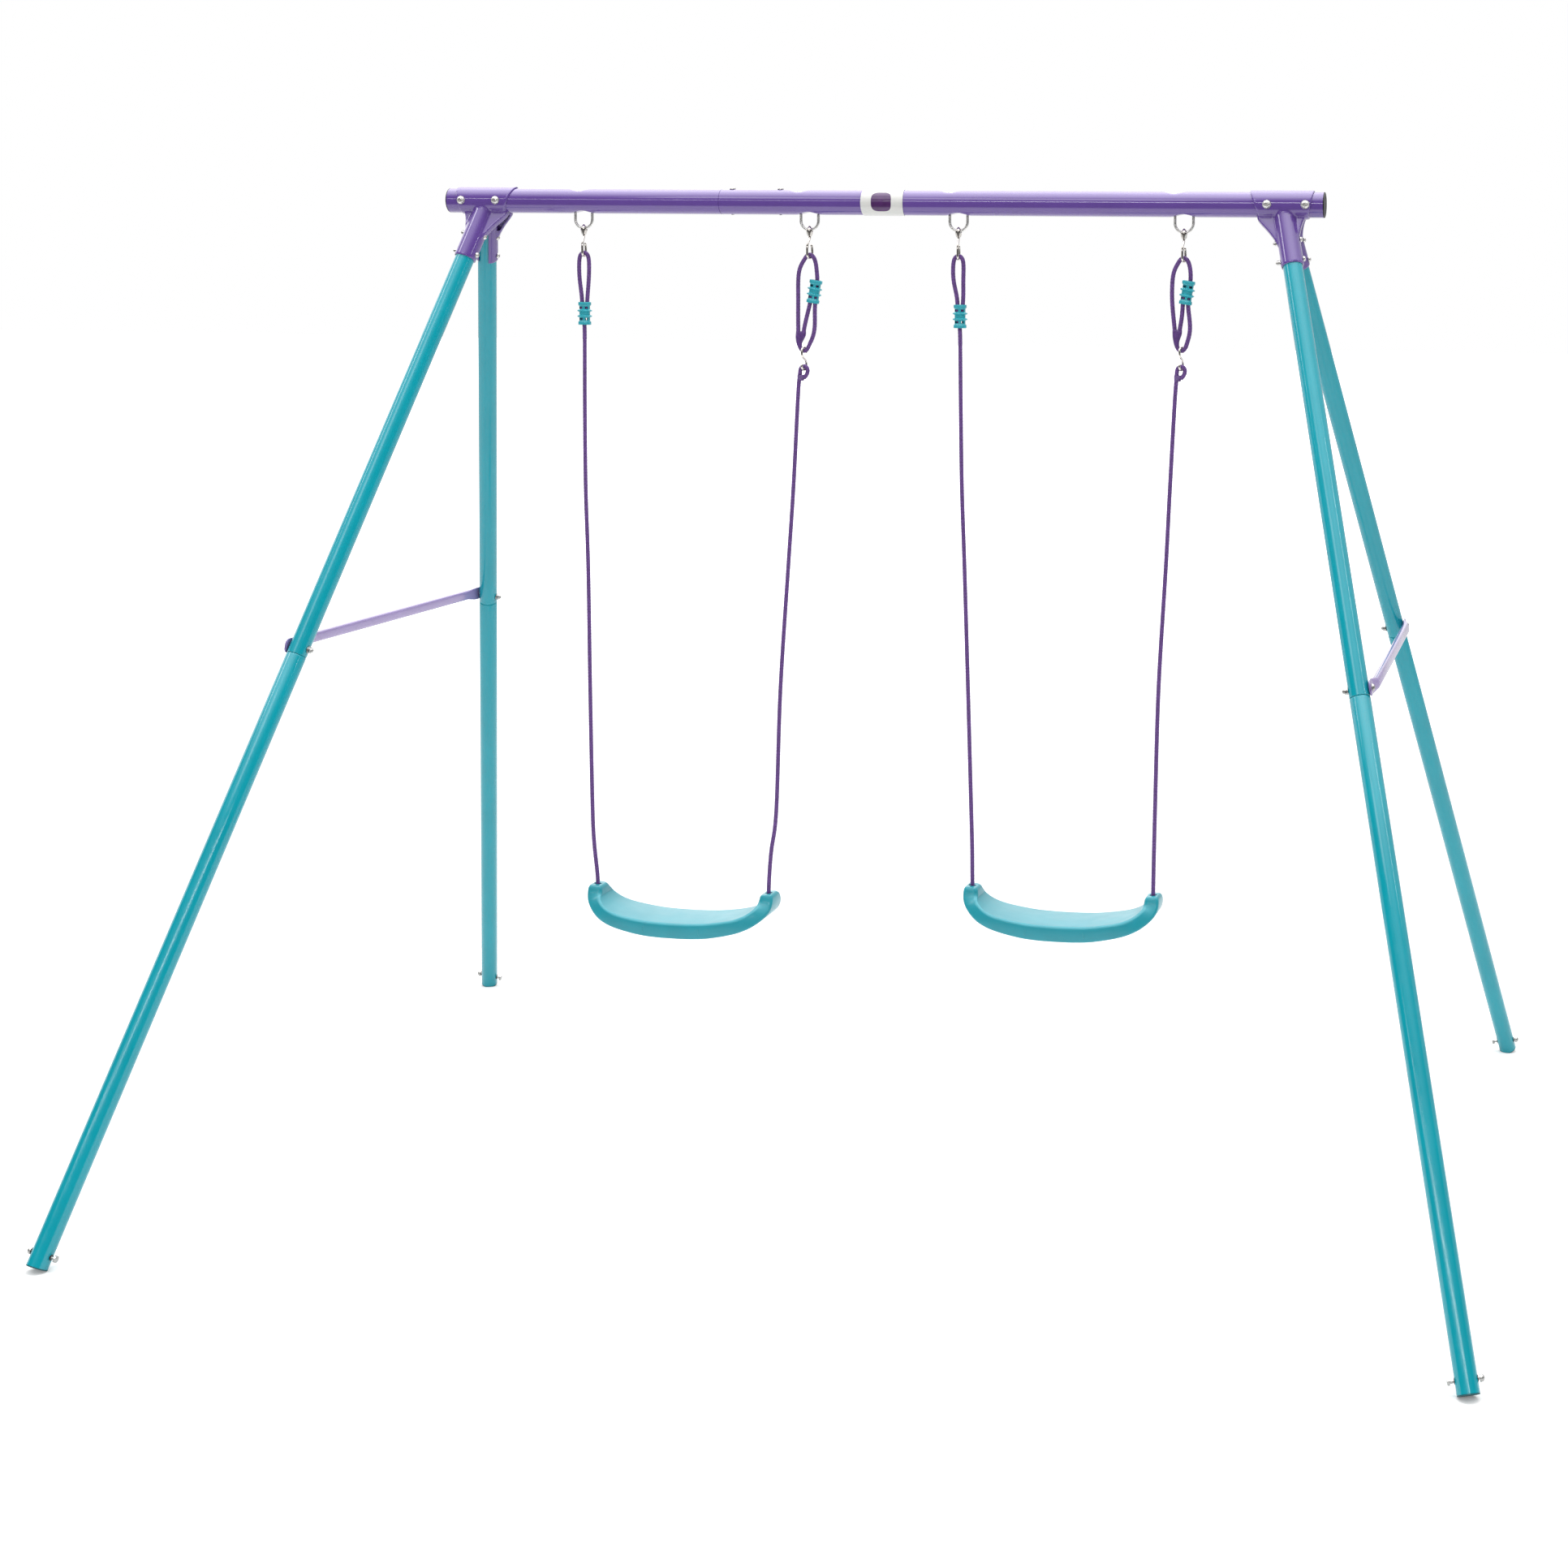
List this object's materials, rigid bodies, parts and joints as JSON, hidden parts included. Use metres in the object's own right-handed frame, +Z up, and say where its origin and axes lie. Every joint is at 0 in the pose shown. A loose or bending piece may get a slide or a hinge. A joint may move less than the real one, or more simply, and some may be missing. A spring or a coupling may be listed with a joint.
{
  "type": "double swing set",
  "caption": "Free-standing swing frame with a top bar on splayed braced tube legs and two rope-hung moulded seats.",
  "frame": {"origin": "on the ground under the middle of the top bar", "axes": "+X along the top bar to the right, -Y to the front, +Z up"},
  "size_m": [2.5576, 1.8724, 1.9445],
  "materials": {
    "bar_paint": "glossy purple powder coat",
    "leg_paint": "glossy teal powder coat",
    "brace_paint": "satin lavender powder coat",
    "cap_plastic": "black, moulded",
    "label_film": "plain printed film",
    "zinc": "zinc plated",
    "chrome": "bright plated",
    "adjuster_plastic": "teal, moulded",
    "seat_plastic": "cyan, blow moulded",
    "rope": "purple twisted rope"
  },
  "bodies": {
    "frame": {"bar_left": "bar_paint", "bar_cap_left": "cap_plastic", "bar_right": "bar_paint", "bar_cap_right": "cap_plastic", "bar_label": "label_film", "splice_bolt_inner": "zinc", "splice_bolt_outer": "zinc", "bracket_front_left": "bar_paint", "leg_upper_front_left": "leg_paint", "leg_lower_front_left": "leg_paint", "foot_cap_front_left": "cap_plastic", "anchor_bolt_front_left": "zinc", "brace_bolt_front_left": "zinc", "bracket_front_right": "bar_paint", "leg_upper_front_right": "leg_paint", "leg_lower_front_right": "leg_paint", "foot_cap_front_right": "cap_plastic", "anchor_bolt_front_right": "zinc", "brace_bolt_front_right": "zinc", "bracket_rear_left": "bar_paint", "leg_upper_rear_left": "leg_paint", "leg_lower_rear_left": "leg_paint", "foot_cap_rear_left": "cap_plastic", "anchor_bolt_rear_left": "zinc", "brace_bolt_rear_left": "zinc", "bracket_rear_right": "bar_paint", "leg_upper_rear_right": "leg_paint", "leg_lower_rear_right": "leg_paint", "foot_cap_rear_right": "cap_plastic", "anchor_bolt_rear_right": "zinc", "brace_bolt_rear_right": "zinc", "brace_left": "brace_paint", "bracket_bolt_inner_left": "zinc", "bracket_bolt_outer_left": "zinc", "brace_right": "brace_paint", "bracket_bolt_inner_right": "zinc", "bracket_bolt_outer_right": "zinc", "u_bolt_1": "zinc", "u_bolt_2": "zinc", "u_bolt_3": "zinc", "u_bolt_4": "zinc"},
    "left_swing": {"swing_hook_1": "chrome", "swing_hook_2": "chrome", "rope_adjuster_1": "adjuster_plastic", "rope_adjuster_2": "adjuster_plastic", "swing_rope_1": "rope", "swing_rope_2": "rope", "s_hook_left": "chrome", "loop_rope_left": "rope"},
    "right_swing": {"swing_hook_3": "chrome", "swing_hook_4": "chrome", "rope_adjuster_3": "adjuster_plastic", "rope_adjuster_4": "adjuster_plastic", "swing_rope_3": "rope", "swing_rope_4": "rope", "s_hook_right": "chrome", "loop_rope_right": "rope"},
    "left_seat": {"seat_left": "seat_plastic"},
    "right_seat": {"seat_right": "seat_plastic"}
  },
  "joints": [
    {"name": "left_swing", "type": "hinge", "parent": "frame", "child": "left_swing", "pos_m": [-0.4012, 0, 1.8591], "axis": [1, 0, 0], "range_deg": [-55, 55]},
    {"name": "right_swing", "type": "hinge", "parent": "frame", "child": "right_swing", "pos_m": [0.3938, 0, 1.8591], "axis": [1, 0, 0], "range_deg": [-55, 55]},
    {"name": "left_seat_tilt", "type": "hinge", "parent": "left_swing", "child": "left_seat", "pos_m": [-0.4012, 0, 0.5105], "axis": [1, 0, 0], "range_deg": [-25, 25]},
    {"name": "right_seat_tilt", "type": "hinge", "parent": "right_swing", "child": "right_seat", "pos_m": [0.3938, 0, 0.55], "axis": [1, 0, 0], "range_deg": [-25, 25]}
  ]
}
